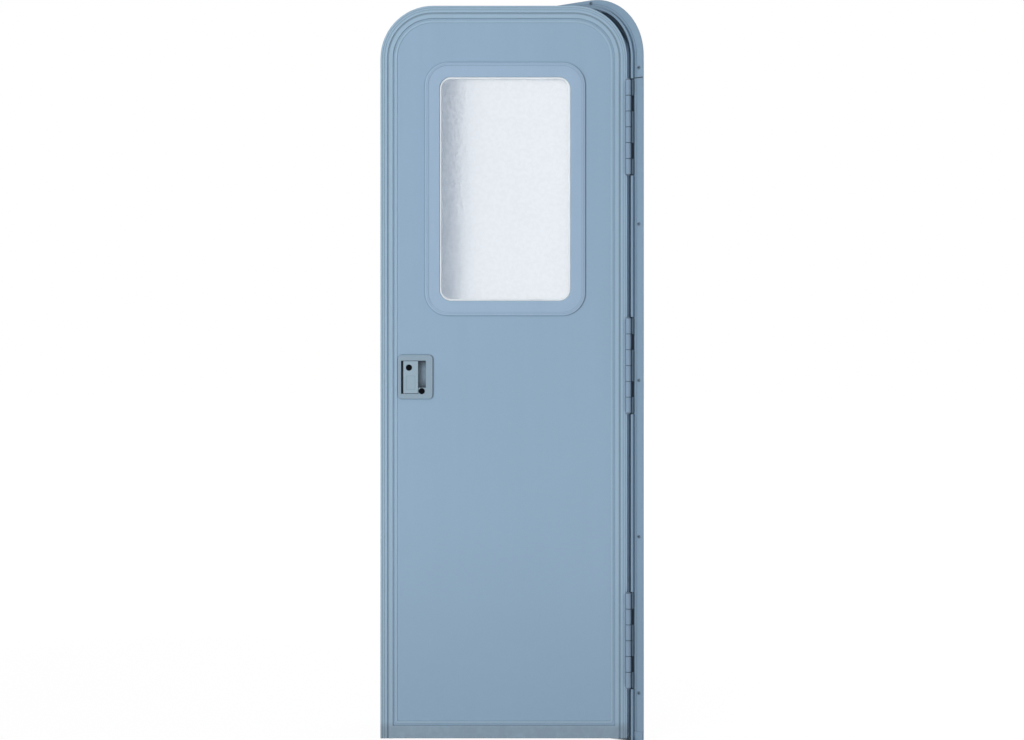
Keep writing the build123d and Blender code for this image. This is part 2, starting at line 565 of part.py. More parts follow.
def inside_lock_pieces():
    """Return the inside of the lock: a dished plate, a pull lever in the dish and a thumb turn."""
    plate_back = INNER_SKIN_Y + INSIDE_PLATE_PROUD
    dish_floor = plate_back - INSIDE_DISH_DEPTH
    outline = RectangleRounded(BEZEL_WIDTH, BEZEL_HEIGHT, BEZEL_RADIUS)
    plate = slab(Pos(LOCK_X, LOCK_Z) * outline, INNER_SKIN_Y, plate_back)
    plate = fillet(plate.faces().sort_by(Axis.Y)[-1].edges(), INSIDE_ROUND)
    lever_z = LOCK_Z - BEZEL_HEIGHT / 2 + INSIDE_LEVER_ABOVE_FOOT + INSIDE_LEVER_HEIGHT / 2
    dish_width = INSIDE_LEVER_WIDTH + 2 * INSIDE_DISH_MARGIN
    dish_height = INSIDE_LEVER_HEIGHT + 2 * INSIDE_DISH_MARGIN
    dish = Pos(LOCK_X, lever_z) * RectangleRounded(dish_width, dish_height, BEZEL_RADIUS)
    plate -= slab(dish, dish_floor, plate_back)
    lever = Pos(LOCK_X, lever_z) * RectangleRounded(INSIDE_LEVER_WIDTH, INSIDE_LEVER_HEIGHT, BEZEL_RADIUS)
    lever = slab(lever, dish_floor, plate_back + INSIDE_LEVER_PROUD)
    lever = fillet(lever.faces().sort_by(Axis.Y)[-1].edges(), INSIDE_ROUND)
    turn_z = BEZEL_TOP - THUMB_TURN_BELOW_TOP
    grip_foot = plate_back + THUMB_TURN_HEIGHT
    turn = bar_through(THUMB_TURN_DIAMETER / 2, LOCK_X, turn_z, plate_back, grip_foot)
    grip = Pos(LOCK_X, turn_z) * SlotOverall(THUMB_GRIP_LENGTH, THUMB_GRIP_WIDTH)
    grip = slab(grip, grip_foot, grip_foot + THUMB_GRIP_HEIGHT)
    grip = fillet(grip.faces().sort_by(Axis.Y)[-1].edges(), THUMB_GRIP_ROUND)
    return {
        "inside_lock_plate": plate,
        "inside_lock_lever": lever,
        "inside_thumb_turn": turn + grip,
    }


def paddle_pieces():
    """Return the pieces that move with the paddle."""
    return {
        "lock_paddle": lock_paddle(),
        "paddle_key_cylinder": key_cylinder(PADDLE_KEY_X, PADDLE_KEY_Z, PADDLE_Y),
    }


def hinge_pieces():
    """Return the pieces of each hinge, those on the frame and those on the door."""
    frame_knuckles = [index for index in range(KNUCKLE_COUNT) if index not in DOOR_KNUCKLES]
    on_frame = {}
    on_door = {}
    for place, base in HINGE_BASES.items():
        frame_span = (HALF_OPENING - LEAF_THICKNESS, HALF_OPENING)
        door_span = (HALF_DOOR, HALF_DOOR + LEAF_THICKNESS)
        tab_span = (frame_span[0], HALF_OPENING + FRAME_BEAD_WIDTH - FIT)
        on_frame[f"{place}_hinge_frame_leaf"] = hinge_leaf(base, frame_knuckles, frame_span, tab_span)
        on_frame[f"{place}_hinge_pin"] = hinge_pin(base)
        on_door[f"{place}_hinge_door_leaf"] = hinge_leaf(base, DOOR_KNUCKLES, door_span)
    return on_frame, on_door


def main():
    """Build every piece and write one file for each."""
    os.makedirs("parts", exist_ok=True)
    hinge_on_frame, hinge_on_door = hinge_pieces()
    pieces = frame_pieces() | hinge_on_frame
    door = {
        "door_edge_frame": door_edge_frame(),
        "door_bottom_rail": door_bottom_rail(),
    }
    door |= panel_pieces() | window_pieces() | lock_pieces() | inside_lock_pieces()
    door |= paddle_pieces() | hinge_on_door
    pieces |= {name: shape.rotate(HINGE_AXIS, DOOR_AJAR) for name, shape in door.items()}
    for name, shape in pieces.items():
        export_step(shape, f"parts/{name}.step")


main()
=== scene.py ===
"""Looks of a caravan entry door that stands ajar in its frame.

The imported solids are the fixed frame. Each gets its finish here, and the screws, the dark packing
in the frame's joints, the pebbled pane and its glazing strip are added. Lengths are in metres, in
the solids' own axes: X along the wall towards the hinges, -Y outside, Z up.
"""
import itertools
import json
import logging
import math
from dataclasses import dataclass
from enum import Enum

import bpy
import numpy as np
from mathutils import Matrix, Vector


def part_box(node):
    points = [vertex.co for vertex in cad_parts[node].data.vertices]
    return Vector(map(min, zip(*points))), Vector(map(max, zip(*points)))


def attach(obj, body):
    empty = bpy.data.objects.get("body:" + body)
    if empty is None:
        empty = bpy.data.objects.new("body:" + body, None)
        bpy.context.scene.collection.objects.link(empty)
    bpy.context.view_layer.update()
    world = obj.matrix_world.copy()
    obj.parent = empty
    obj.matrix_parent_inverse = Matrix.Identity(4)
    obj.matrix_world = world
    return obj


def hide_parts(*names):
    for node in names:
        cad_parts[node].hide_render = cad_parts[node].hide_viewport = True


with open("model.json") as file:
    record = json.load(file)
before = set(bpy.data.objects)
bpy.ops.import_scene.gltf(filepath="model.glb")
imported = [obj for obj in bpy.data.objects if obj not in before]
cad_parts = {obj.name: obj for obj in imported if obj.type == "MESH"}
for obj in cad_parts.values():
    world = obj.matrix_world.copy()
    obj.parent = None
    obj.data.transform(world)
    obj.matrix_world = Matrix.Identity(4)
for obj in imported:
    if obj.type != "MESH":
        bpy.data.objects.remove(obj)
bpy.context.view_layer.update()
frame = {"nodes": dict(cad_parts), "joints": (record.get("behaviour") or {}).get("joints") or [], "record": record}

LOG = logging.getLogger("caravan_door")
MILLIMETRE = 0.001
UP = Vector((0.0, 0.0, 1.0))
OUTWARD = Vector((0.0, -1.0, 0.0))
INWARD = Vector((0.0, 1.0, 0.0))
WHITE = (1.0, 1.0, 1.0)
CREVICE_SAMPLES = 8
PATCH_SCALE = 18.0
Pair = tuple[float, float]
Triple = tuple[float, float, float]
Colour = Triple
Seat = tuple[Vector, Vector]
Span = tuple[Vector, Vector]


class Body(Enum):
    """The bodies that the added pieces ride on."""

    FRAME = "frame"
    DOOR = "door"


class Slot(Enum):
    """The record's material slots."""

    FRAME_PAINT = "painted_frame"
    SILL = "sill_aluminium"
    RUBBER = "seal_rubber"
    HINGE_PAINT = "painted_hinge"
    PIN = "hinge_pin_steel"
    EDGE_PAINT = "painted_edge"
    SKIN_PAINT = "painted_skin"
    INNER_SKIN = "inner_skin"
    FOAM = "foam_core"
    TRIM = "window_trim"
    GLASS = "obscure_glass"
    LOCK = "lock_cast"
    KEY = "key_black"
    LATCH = "latch_steel"
    INSIDE = "inside_plastic"


def linear(red: int, green: int, blue: int) -> Colour:
    """Turn a display colour into the linear colour that shaders take.

    Args:
        red: red from 0 to 255.
        green: green from 0 to 255.
        blue: blue from 0 to 255.

    Returns:
        The linear colour.
    """
    shares = [value / 255 for value in (red, green, blue)]
    return tuple(s / 12.92 if s <= 0.04045 else ((s + 0.055) / 1.055) ** 2.4 for s in shares)


def scaled(colour: Colour, factor: float) -> Colour:
    """Return a colour made lighter or darker by a factor."""
    return tuple(channel * factor for channel in colour)


@dataclass(frozen=True)
class Signal:
    """A shader socket that can be written into sums, differences and products."""

    graph: "NodeGraph"
    socket: bpy.types.NodeSocket

    def __add__(self, other: "Signal | float") -> "Signal":
        """Add a signal or a number."""
        return self.graph.math("ADD", self, other)

    def __radd__(self, other: float) -> "Signal":
        """Add to a number."""
        return self.graph.math("ADD", other, self)

    def __sub__(self, other: "Signal | float") -> "Signal":
        """Take away a signal or a number."""
        return self.graph.math("SUBTRACT", self, other)

    def __rsub__(self, other: float) -> "Signal":
        """Take away from a number."""
        return self.graph.math("SUBTRACT", other, self)

    def __mul__(self, other: "Signal | float") -> "Signal":
        """Multiply by a signal or a number."""
        return self.graph.math("MULTIPLY", self, other)

    def __rmul__(self, other: float) -> "Signal":
        """Multiply a number."""
        return self.graph.math("MULTIPLY", other, self)

    def __or__(self, other: "Signal | float") -> "Signal":
        """Take the greater of two."""
        return self.graph.math("MAXIMUM", self, other)

    def band(self, start: float, end: float) -> "Signal":
        """Rise smoothly from 0 to 1 between two values.

        Args:
            start: the value that gives 0.
            end: the value that gives 1, which may be the smaller one.

        Returns:
            The smooth step.
        """
        settings = {"interpolation_type": "SMOOTHSTEP"}
        inputs = {"Value": self, "From Min": start, "From Max": end, "To Min": 0.0, "To Max": 1.0}
        made = self.graph.node("ShaderNodeMapRange", settings, inputs)
        return Signal(self.graph, made.outputs["Result"])


class NodeGraph:
    """A node tree that is written to as expressions."""

    def __init__(self, tree: bpy.types.NodeTree) -> None:
        """Take up a tree.

        Args:
            tree: the tree of a material or the world.
        """
        self.tree = tree

    def node(self, kind: str, settings: dict, inputs: dict) -> bpy.types.Node:
        """Add a node, with its settings made before its inputs.

        Args:
            kind: the node's type.
            settings: attributes by name.
            inputs: values or signals by socket name or number.

        Returns:
            The node.
        """
        made = self.tree.nodes.new(kind)
        for key, value in settings.items():
            setattr(made, key, value)
        for key, value in inputs.items():
            self.feed(made.inputs[key], value)
        return made

    def feed(self, socket: bpy.types.NodeSocket, value: "Signal | float | tuple") -> None:
        """Link a signal to a socket, or set the socket's value.

        Args:
            socket: the input socket.
            value: a signal, a number, a colour or a vector.
        """
        if isinstance(value, Signal):
            self.tree.links.new(value.socket, socket)
        elif socket.type == "RGBA":
            socket.default_value = (*value, 1.0)
        else:
            socket.default_value = value

    def math(self, operation: str, *values: "Signal | float") -> Signal:
        """Add a Math node.

        Args:
            operation: the node's operation.
            values: its inputs, in order.

        Returns:
            The result.
        """
        made = self.node("ShaderNodeMath", {"operation": operation}, dict(enumerate(values)))
        return Signal(self, made.outputs[0])

    def seen(self) -> Signal:
        """Return 1 where the camera sees a surface, straight or in metal or glass, and 0 elsewhere.

        Returns:
            The share, 0 or 1.
        """
        rays = self.node("ShaderNodeLightPath", {}, {}).outputs
        kinds = ("Is Camera Ray", "Is Glossy Ray", "Is Transmission Ray")
        camera, glossy, through = (Signal(self, rays[kind]) for kind in kinds)
        return camera | glossy | through


class FinishGraph(NodeGraph):
    """The node tree of one material, round its Principled shader."""

    def __init__(self, name: str) -> None:
        """Start a material.

        Args:
            name: the material's name.
        """
        self.material = bpy.data.materials.new(name)
        self.material.use_nodes = True
        super().__init__(self.material.node_tree)
        self.shader = self.tree.nodes["Principled BSDF"]

    def blend(
        self, factor: "Signal | float", first: "Signal | Colour", second: "Signal | Colour"
    ) -> Signal:
        """Mix two colours.

        Args:
            factor: 0 for the first colour and 1 for the second.
            first: a colour.
            second: a colour.

        Returns:
            The mixed colour.
        """
        sockets = {0: factor, 6: first, 7: second}
        return Signal(self, self.node("ShaderNodeMix", {"data_type": "RGBA"}, sockets).outputs[2])

    def place(self) -> Signal:
        """Return the place on the piece in metres, in the axes of its own mesh."""
        return Signal(self, self.node("ShaderNodeTexCoord", {}, {}).outputs["Object"])

    def stretched(self, place: Signal, scale: Triple) -> Signal:
        """Multiply a place by a scale on each axis.

        Args:
            place: the place.
            scale: the factor on X, Y and Z.

        Returns:
            The scaled place.
        """
        made = self.node("ShaderNodeVectorMath", {"operation": "MULTIPLY"}, {0: place, 1: scale})
        return Signal(self, made.outputs[0])

    def axis(self, place: Signal, name: str) -> Signal:
        """Return one axis of a place."""
        return Signal(self, self.node("ShaderNodeSeparateXYZ", {}, {0: place}).outputs[name])

    def along(self, place: Signal, direction: Vector) -> Signal:
        """Return how far a place lies along a direction from the origin.

        Args:
            place: the place.
            direction: a direction of length 1.

        Returns:
            The distance.
        """
        inputs = {0: place, 1: tuple(direction)}
        made = self.node("ShaderNodeVectorMath", {"operation": "DOT_PRODUCT"}, inputs)
        return Signal(self, made.outputs["Value"])

    def noise(self, place: Signal, scale: float, detail: float) -> Signal:
        """Add soft noise round 0.5.

        Args:
            place: where the noise is read.
            scale: waves a metre.
            detail: octaves of finer noise.

        Returns:
            The noise.
        """
        inputs = {"Vector": place, "Scale": scale, "Detail": detail}
        return Signal(self, self.node("ShaderNodeTexNoise", {}, inputs).outputs["Fac"])

    def crevice(self, distance: float) -> Signal:
        """Return how shut in a place is, 0 in the open and towards 1 in a groove.

        Args:
            distance: how near the walls have to be.

        Returns:
            The share that is shut in.
        """
        settings = {"samples": CREVICE_SAMPLES}
        made = self.node("ShaderNodeAmbientOcclusion", settings, {"Distance": distance})
        return 1.0 - Signal(self, made.outputs["AO"])

    def bump(self, height: Signal, distance: float, strength: float) -> None:
        """Let a height stand out of the surface.

        Args:
            height: the height, about 0 to 1.
            distance: the height of 1.
            strength: how much of it shows.
        """
        inputs = {"Strength": strength, "Distance": distance, "Height": height}
        made = self.node("ShaderNodeBump", {}, inputs)
        self.feed(self.shader.inputs["Normal"], Signal(self, made.outputs["Normal"]))

    def set(self, **sockets: "Signal | float | tuple") -> None:
        """Set the shader's sockets, named with underscores for spaces.

        Args:
            sockets: values or signals.
        """
        for name, value in sockets.items():
            self.feed(self.shader.inputs[name.replace("_", " ")], value)


@dataclass(frozen=True)
class Paint:
    """Satin paint on metal, slightly mottled, with road dust low down and painted shade in corners and hollows."""

    name: str
    colour: Colour
    roughness: float = 0.34
    mottle: float = 0.065
    cloud_scale: float = 3.0
    speck_scale: float = 70.0
    run_scale: Triple = (28.0, 28.0, 1.6)
    dust_own: float = 0.57
    dust_grey: float = 0.11
    dust_top: float = 0.6
    dust_share: float = 0.3
    splash_top: float = 0.055
    splash_full: float = 0.03
    splash_share: float = 0.3
    # painted shade: in corners and hollows, found by ambient occlusion, the colour darkens towards these shares of
    # itself
    shade_tone: Triple = (0.12, 0.15, 0.17)
    corner_shade_share: float = 0.6
    corner_shade_reach: float = 6.0 * MILLIMETRE
    corner_shade_fade: Pair = (0.1, 0.65)
    hollow_shade_share: float = 0.8
    hollow_shade_reach: float = 22.0 * MILLIMETRE
    hollow_shade_fade: Pair = (0.35, 0.72)
    # painted shade: the groove sunk below the leaf's face is darkened by this share
    groove_shade_share: float = 0.0
    groove_depth: float = 1.6 * MILLIMETRE
    groove_rise: Pair = (0.8, 0.9)
    groove_fall: Pair = (1.2, 1.1)
    # painted shade: a band behind the hinge pins, where the hinge's throat lies in shade, is darkened by this
    # share
    throat_shade_share: float = 0.0
    throat_start: float = 4.6 * MILLIMETRE
    throat_end: float = 7.6 * MILLIMETRE
    throat_edge: float = 0.3 * MILLIMETRE
    peel_scale: float = 420.0
    peel_depth: float = 0.06 * MILLIMETRE
    # painted light: faces inward of Y 0 are painted paler, lifting the shade they lie in
    painted_light_colour: Colour | None = None
    painted_light_edge: float = 0.5 * MILLIMETRE
    coat: float = 0.1
    coat_roughness: float = 0.2

    def dirt_and_shade(self, graph: FinishGraph, place: Signal, leaf: "LeafSpace") -> Signal:
        """Return where shade is painted in: in corners, hollows and the leaf's groove, and behind the hinge pins.

        Args:
            graph: the paint's graph.
            place: the place on the piece.
            leaf: the leaf, whose face the groove is sunk below and whose pins the hinges turn on.

        Returns:
            The share of painted shade, which also roughens the paint.
        """
        # painted shade in corners and hollows, found by ambient occlusion
        corners = graph.crevice(self.corner_shade_reach).band(*self.corner_shade_fade) * self.corner_shade_share
        hollow_shade = graph.crevice(self.hollow_shade_reach).band(*self.hollow_shade_fade) * self.hollow_shade_share
        shaded = corners | hollow_shade
        # painted shade in the groove below the leaf's face
        if self.groove_shade_share:
            sunk = graph.along(place, leaf.inward()) - leaf.face_level()
            depth = sunk * (1.0 / self.groove_depth)
            groove = depth.band(*self.groove_rise) * depth.band(*self.groove_fall)
            shaded = shaded | groove * self.groove_shade_share
        # painted shade in a band behind the hinge pins
        if self.throat_shade_share:
            behind = graph.axis(place, "Y") - leaf.pin.y
            opens = behind.band(self.throat_start - self.throat_edge, self.throat_start + self.throat_edge)
            shuts = behind.band(self.throat_end + self.throat_edge, self.throat_end - self.throat_edge)
            shaded = shaded | opens * shuts * self.throat_shade_share
        return shaded

    def material(self, leaf: "LeafSpace") -> bpy.types.Material:
        """Return the paint as a new material.

        Args:
            leaf: the leaf's axes.

        Returns:
            The material.
        """
        graph = FinishGraph(self.name)
        place = graph.place()
        clouds = graph.noise(place, self.cloud_scale, 4.0)
        specks = graph.noise(place, self.speck_scale, 4.0)
        runs = graph.noise(graph.stretched(place, self.run_scale), 1.0, 3.0)
        low, high = (scaled(self.colour, 1.0 + sign * self.mottle) for sign in (-1, 1))
        surface = graph.blend(0.5 * clouds + 0.15 * specks + 0.35 * runs, low, high)
        height = graph.axis(place, "Z")
        settling = height.band(self.dust_top, 0.0) * self.dust_share
        film = settling | height.band(self.splash_top, self.splash_full) * self.splash_share
        grey = sum(self.colour) / 3
        dust = tuple(self.dust_own * channel + self.dust_grey * grey for channel in self.colour)
        surface = graph.blend(film * (0.45 + 0.6 * specks + 0.5 * runs), surface, dust)
        # painted light: paler paint on faces inward of Y 0
        if self.painted_light_colour:
            painted_light_share = graph.axis(place, "Y").band(0.0, self.painted_light_edge)
            surface = graph.blend(painted_light_share, surface, self.painted_light_colour)
        # the painted shade darkens the colour and roughens the paint
        dirt_and_shade = self.dirt_and_shade(graph, place, leaf)
        shade_tone = tuple(channel * share for channel, share in zip(self.colour, self.shade_tone))
        graph.set(
            Base_Color=graph.blend(dirt_and_shade, surface, shade_tone),
            Roughness=self.roughness - 0.06 + 0.12 * clouds + 0.25 * film + 0.15 * dirt_and_shade,
            Coat_Weight=self.coat,
            Coat_Roughness=self.coat_roughness,
        )
        graph.bump(graph.noise(place, self.peel_scale, 1.0), self.peel_depth, 0.35)
        return graph.material


@dataclass(frozen=True)
class Metal:
    """Bare metal, brushed along one axis."""

    name: str
    colour: Colour
    roughness: float
    grain: Triple
    grain_depth: float = 0.05 * MILLIMETRE
    smear_scale: float = 25.0
    # painted shade: the metal darkens in corners found by ambient occlusion
    corner_shade_reach: float = 4.0 * MILLIMETRE
    corner_shade_fade: Pair = (0.15, 0.8)

    def material(self, leaf: "LeafSpace") -> bpy.types.Material:
        """Return the metal as a new material.

        Args:
            leaf: the leaf's axes; not used.

        Returns:
            The material.
        """
        graph = FinishGraph(self.name)
        place = graph.place()
        lines = graph.noise(graph.stretched(place, self.grain), 1.0, 3.0)
        smears = graph.noise(place, self.smear_scale, 3.0)
        # painted shade in corners, which also dulls and roughens the metal
        dirt_and_shade = graph.crevice(self.corner_shade_reach).band(*self.corner_shade_fade)
        bright = graph.blend(0.6 * lines + 0.4 * smears, scaled(self.colour, 0.78), self.colour)
        graph.set(
            Base_Color=graph.blend(0.5 * dirt_and_shade, bright, scaled(self.colour, 0.2)),
            Metallic=1.0 - 0.5 * dirt_and_shade,
            Roughness=self.roughness - 0.08 + 0.16 * lines + 0.2 * dirt_and_shade,
        )
        graph.bump(lines, self.grain_depth, 0.4)
        return graph.material


@dataclass(frozen=True)
class Moulding:
    """Moulded plastic, rubber or foam with a fine grain."""

    name: str
    colour: Colour
    roughness: float
    grain_scale: float
    grain_depth: float = 0.08 * MILLIMETRE
    gloss: float = 0.5
    patchy: float = 0.14

    def material(self, leaf: "LeafSpace") -> bpy.types.Material:
        """Return the moulding as a new material.

        Args:
            leaf: the leaf's axes; not used.

        Returns:
            The material.
        """
        graph = FinishGraph(self.name)
        place = graph.place()
        patches = graph.noise(place, PATCH_SCALE, 3.0)
        dark, pale = (scaled(self.colour, 1.0 + sign * self.patchy) for sign in (-1, 1))
        graph.set(
            Base_Color=graph.blend(patches, dark, pale),
            Roughness=self.roughness - 0.06 + 0.12 * patches,
            Specular_IOR_Level=self.gloss,
        )
        graph.bump(graph.noise(place, self.grain_scale, 2.0), self.grain_depth, 0.5)
        return graph.material


@dataclass(frozen=True)
class BulbSeal:
    """A seal with a darker bulb beside a pale flap, on a flat base, and painted darker along the head as shade."""

    name: str
    bulb: Colour
    flap: Colour
    base: Colour
    # head: painted shade, the dark colour the seal takes along the head
    head: Colour
    roughness: float = 0.7
    bulb_side: float = 279.3 * MILLIMETRE
    base_depth: float = 2.8 * MILLIMETRE
    edge: float = 0.4 * MILLIMETRE
    head_shade_from: Pair = (1.70, 1.80)
    patchy: float = 0.1
    grain_scale: float = 700.0
    grain_depth: float = 0.08 * MILLIMETRE

    def material(self, leaf: "LeafSpace") -> bpy.types.Material:
        """Return the seal as a new material.

        Args:
            leaf: the leaf's axes; not used.

        Returns:
            The material.
        """
        graph = FinishGraph(self.name)
        place = graph.place()
        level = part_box("frame_seal")[1].y - self.base_depth
        flat = graph.axis(place, "Y").band(level - self.edge, level)
        aside = graph.math("ABSOLUTE", graph.axis(place, "X"))
        on_bulb = aside.band(self.bulb_side - self.edge, self.bulb_side + self.edge)
        # painted shade along the head, from 1.7 m up
        head_shade = graph.axis(place, "Z").band(*self.head_shade_from)
        patches = graph.noise(place, PATCH_SCALE, 3.0)
        dark, pale = (scaled(self.base, 1.0 + sign * self.patchy) for sign in (-1, 1))
        front = graph.blend(on_bulb, self.flap, self.bulb)
        upright = graph.blend(flat, front, graph.blend(patches, dark, pale))
        graph.set(
            Base_Color=graph.blend(head_shade, upright, self.head),
            Roughness=self.roughness - 0.06 + 0.12 * patches,
        )
        graph.bump(graph.noise(place, self.grain_scale, 2.0), self.grain_depth, 0.5)
        return graph.material


@dataclass(frozen=True)
class ObscureGlass:
    """Frosted glass with a faint blue tint; its larger pebbles are in the pane's mesh."""

    name: str
    colour: Colour
    roughness: float
    roughness_spread: float = 0.06
    clear: float = 0.82
    ior: float = 1.45
    frost_scale: float = 105.0
    frost_fade: Pair = (0.38, 0.62)
    frost_shade: float = 0.95
    grain_scale: float = 210.0
    grain_depth: float = 0.14 * MILLIMETRE

    def material(self, leaf: "LeafSpace") -> bpy.types.Material:
        """Return the glass as a new material.

        Args:
            leaf: the leaf's axes; not used.

        Returns:
            The material.
        """
        graph = FinishGraph(self.name)
        place = graph.place()
        frost = graph.noise(place, self.frost_scale, 2.0).band(*self.frost_fade)
        smoothest = self.roughness - self.roughness_spread / 2
        graph.set(
            Base_Color=graph.blend(frost, scaled(self.colour, self.frost_shade), self.colour),
            Roughness=smoothest + self.roughness_spread * frost,
            Transmission_Weight=self.clear,
            IOR=self.ior,
        )
        graph.bump(graph.noise(place, self.grain_scale, 2.0), self.grain_depth, 0.6)
        return graph.material


Finish = Paint | Metal | Moulding | BulbSeal | ObscureGlass

FINISHES: dict[Slot, Finish] = {
    Slot.FRAME_PAINT: Paint(
        "frame_paint",
        linear(127, 154, 177),
        corner_shade_share=0.28,
        hollow_shade_share=0.85,
        # the frame's paler inside is painted light
        painted_light_colour=linear(150, 181, 209),
    ),
    Slot.SILL: Metal("sill_metal", (0.62, 0.64, 0.66), 0.34, (4.0, 900.0, 900.0)),
    Slot.RUBBER: BulbSeal(
        "bulb_seal",
        bulb=linear(106, 132, 154),
        flap=linear(170, 193, 214),
        base=linear(116, 138, 160),
        # the seal's head colour is painted shade
        head=linear(62, 78, 94),
    ),
    # the hinge paint's throat band is painted shade behind the pins
    Slot.HINGE_PAINT: Paint(
        "hinge_paint", linear(133, 158, 181), roughness=0.4, corner_shade_share=0.85, throat_shade_share=0.68
    ),
    Slot.PIN: Paint("pin_paint", linear(106, 125, 141), roughness=0.45),
    Slot.EDGE_PAINT: Paint(
        "edge_paint", linear(157, 185, 207), groove_shade_share=0.35, splash_top=0.06, splash_share=0.95
    ),
    Slot.SKIN_PAINT: Paint("skin_paint", linear(148, 177, 202)),
    Slot.INNER_SKIN: Moulding(
        "inner_skin_white", linear(214, 216, 214), 0.45, 260.0, 0.2 * MILLIMETRE, patchy=0.05
    ),
    Slot.FOAM: Moulding("core_foam", linear(226, 222, 208), 0.9, 900.0),
    Slot.TRIM: Paint("trim_paint", linear(158, 185, 211), roughness=0.32, corner_shade_share=0.75),
    Slot.GLASS: ObscureGlass("pebbled_glass", (0.905, 0.948, 1.0), 0.33),
    # the lock's large hollow share paints deep shade into its pocket and slits
    Slot.LOCK: Paint("lock_paint", linear(144, 167, 184), corner_shade_share=0.8, hollow_shade_share=0.97),
    Slot.KEY: Moulding("key_black", (0.003, 0.004, 0.006), 0.5, 300.0, 0.02 * MILLIMETRE, gloss=0.05),
    Slot.LATCH: Metal("latch_zinc", (0.60, 0.61, 0.62), 0.32, (500.0, 500.0, 30.0)),
    Slot.INSIDE: Moulding("inside_black", linear(52, 53, 55), 0.5, 1100.0),
}
# dark packing for the flange's joints, and painted shadow for the pads in the hinge notches
DARK_PACKING_AND_SHADOW = Moulding("packing_dark", linear(34, 46, 58), 0.7, 700.0)
# the screw paint's corner share paints shade into the cross recesses
SCREW_PAINT = Paint(
    "screw_paint", linear(98, 118, 136), roughness=0.5, corner_shade_share=0.9, corner_shade_reach=3.0 * MILLIMETRE
)
PADDLE_PAINT = Paint("paddle_paint", linear(155, 178, 193), corner_shade_share=0.8, hollow_shade_share=0.97)
PALE_STRIP = Moulding("glazing_pale", linear(240, 247, 252), 0.4, 500.0, 0.03 * MILLIMETRE)


class Dresser:
    """Gives pieces their finishes, each material made once, and says what they ride on."""

    def __init__(self, leaf: "LeafSpace") -> None:
        """Start with no material made.

        Args:
            leaf: the leaf's axes, which some finishes follow.
        """
        self.leaf = leaf
        self.made: dict[str, bpy.types.Material] = {}

    def dress(self, piece: bpy.types.Object, finish: Finish) -> None:
        """Put a finish on a piece.

        Args:
            piece: the mesh object.
            finish: the finish.
        """
        if finish.name not in self.made:
            self.made[finish.name] = finish.material(self.leaf)
        piece.data.materials.clear()
        piece.data.materials.append(self.made[finish.name])

    def dress_solids(self) -> None:
        """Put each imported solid's own finish on it."""
        for row in frame["record"]["subparts"]:
            node, slot = row["node"], Slot(row["material_slot"])
            finish = PADDLE_PAINT if node == "lock_paddle" else FINISHES[slot]
            self.dress(frame["nodes"][node], finish)
            LOG.info("dressed %s with %s", node, finish.name)

    def add(
        self, piece: bpy.types.Object, slot: Slot, body: Body, finish: Finish | None = None
    ) -> None:
        """Dress a new piece and let it ride on a body.

        Args:
            piece: the mesh object.
            slot: the record's slot.
            body: the body that carries it.
            finish: its finish, where it isn't the slot's own.
        """
        self.dress(piece, finish or FINISHES[slot])
        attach(piece, body.value)
        LOG.info("built %s on %s", piece.name, body.value)


@dataclass(frozen=True)
class LeafSpace:
    """The leaf's own axes at rest: X along its width from the hinge pins, Y inwards, Z up."""

    pin: Vector
    ajar: float

    @classmethod
    def from_joint(cls, name: str) -> "LeafSpace":
        """Read the axes from the joint that swings the leaf.

        Args:
            name: the joint's name.

        Returns:
            The leaf's axes.
        """
        joint = next(j for j in frame["joints"] if j["name"] == name)
        x, y, _ = joint["pos_m"]
        return cls(Vector((x, y, 0.0)), -math.radians(joint["range_deg"][0]))

    def matrix(self) -> Matrix:
        """Return the turn from the leaf's axes to the part's."""
        return Matrix.Translation(self.pin) @ Matrix.Rotation(self.ajar, 4, "Z")

    def inward(self) -> Vector:
        """Return the direction square into the leaf's outer face."""
        return self.matrix().to_3x3() @ INWARD

    def face_level(self) -> float:
        """Return where the leaf's outer face lies along its inward direction."""
        return self.pin.dot(self.inward()) + self.box("door_edge_frame")[0].y

    def points(self, node: str) -> np.ndarray:
        """Return a solid's vertices in the leaf's axes."""
        return moved(node_points(node), self.matrix().inverted())

    def box(self, node: str) -> Span:
        """Return a solid's lowest and highest corner in the leaf's axes."""
        points = self.points(node)
        return Vector(points.min(0)), Vector(points.max(0))


def node_points(node: str) -> np.ndarray:
    """Return a solid's vertices in the part's axes."""
    return np.array([tuple(v.co) for v in frame["nodes"][node].data.vertices])


def moved(points: np.ndarray, matrix: Matrix) -> np.ndarray:
    """Return points taken through a matrix."""
    return points @ np.array(matrix.to_3x3()).T + np.array(matrix.translation)


def mesh_object(name: str, points: np.ndarray, faces: list, smooth: bool = True) -> bpy.types.Object:
    """Make a mesh object and link it to the scene.

    Args:
        name: the piece's name.
        points: its vertices.
        faces: its faces as lists of vertex numbers.
        smooth: whether its faces shade smoothly.

    Returns:
        The object.
    """
    mesh = bpy.data.meshes.new(name)
    mesh.from_pydata([tuple(p) for p in points], [], faces)
    mesh.polygons.foreach_set("use_smooth", [smooth] * len(mesh.polygons))
    mesh.update()
    made = bpy.data.objects.new(name, mesh)
    bpy.context.scene.collection.objects.link(made)
    return made


def bar_object(name: str, spans: list[Span]) -> bpy.types.Object:
    """Make one object of square bars.

    Args:
        name: the piece's name.
        spans: the lowest and highest corner of each bar.

    Returns:
        The joined bars.
    """
    sides = [(0, 1, 3, 2), (4, 6, 7, 5), (0, 4, 5, 1), (2, 3, 7, 6), (0, 2, 6, 4), (1, 5, 7, 3)]
    corners, faces = [], []
    for low, high in spans:
        faces += [tuple(len(corners) + v for v in side) for side in sides]
        corners += itertools.product((low.x, high.x), (low.y, high.y), (low.z, high.z))
    return mesh_object(name, np.array(corners), faces, smooth=False)


